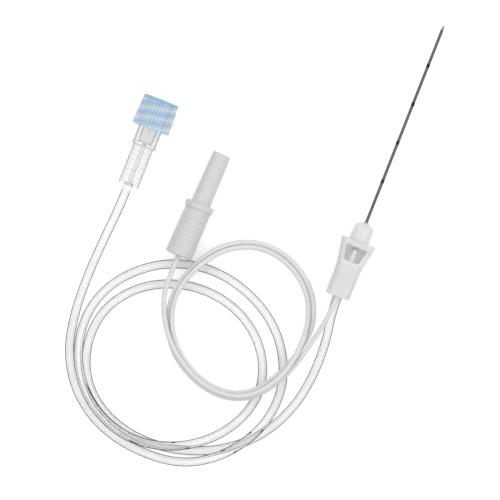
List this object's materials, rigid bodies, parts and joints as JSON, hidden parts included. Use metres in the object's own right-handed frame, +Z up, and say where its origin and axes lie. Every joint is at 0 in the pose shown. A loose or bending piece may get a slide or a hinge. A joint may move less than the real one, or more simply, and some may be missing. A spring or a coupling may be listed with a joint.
{
  "type": "nerve block needle",
  "caption": "Insulated nerve block needle with depth marks, a windowed hub, a coiled clear injection tube with a capped Luer connector, and a thin electrical lead with a plug.",
  "frame": {"origin": "on the table, under the middle of the needle and its hub", "axes": "+Y along the needle to its tip, +Z up, +X to the right seen from above with the tip ahead"},
  "size_m": [0.0657, 0.1237, 0.0093],
  "materials": {
    "cannula_steel": "fine drawn, bright at the tip",
    "coating": "thin, dark and glossy",
    "mark_ink": "printed",
    "nose_plastic": "translucent",
    "adhesive": "clear, glossy",
    "grip_plastic": "translucent",
    "core_plastic": "white",
    "tinned_wire": "tinned",
    "solder": "satin",
    "tube_clear": "clear",
    "connector_clear": "clear",
    "cap_blue": "translucent",
    "lead_jacket": "satin",
    "plug_plastic": "fine grained",
    "plug_rubber": "fine ribs",
    "contact_brass": "machined",
    "copper_wire": "stranded"
  },
  "bodies": {
    "needle_set": {"cannula": "cannula_steel", "insulation_coating": "coating", "depth_mark_10mm": "mark_ink", "depth_mark_20mm": "mark_ink", "depth_mark_30mm": "mark_ink", "depth_mark_40mm": "mark_ink", "nose_piece": "nose_plastic", "adhesive_bead": "adhesive", "grip_housing": "grip_plastic", "hub_core": "core_plastic", "conductor_end": "tinned_wire", "solder_joint": "solder", "injection_tube": "tube_clear", "luer_connector": "connector_clear", "electrical_lead": "lead_jacket", "plug_shroud": "plug_plastic", "plug_grip": "plug_rubber", "contact_socket": "contact_brass", "crimped_conductor": "copper_wire"},
    "cap": {"luer_cap": "cap_blue"}
  },
  "joints": [
    {"name": "cap_off", "type": "slide", "parent": "needle_set", "child": "cap", "axis": [0, 1, 0], "range_m": [0, 0.008]}
  ]
}
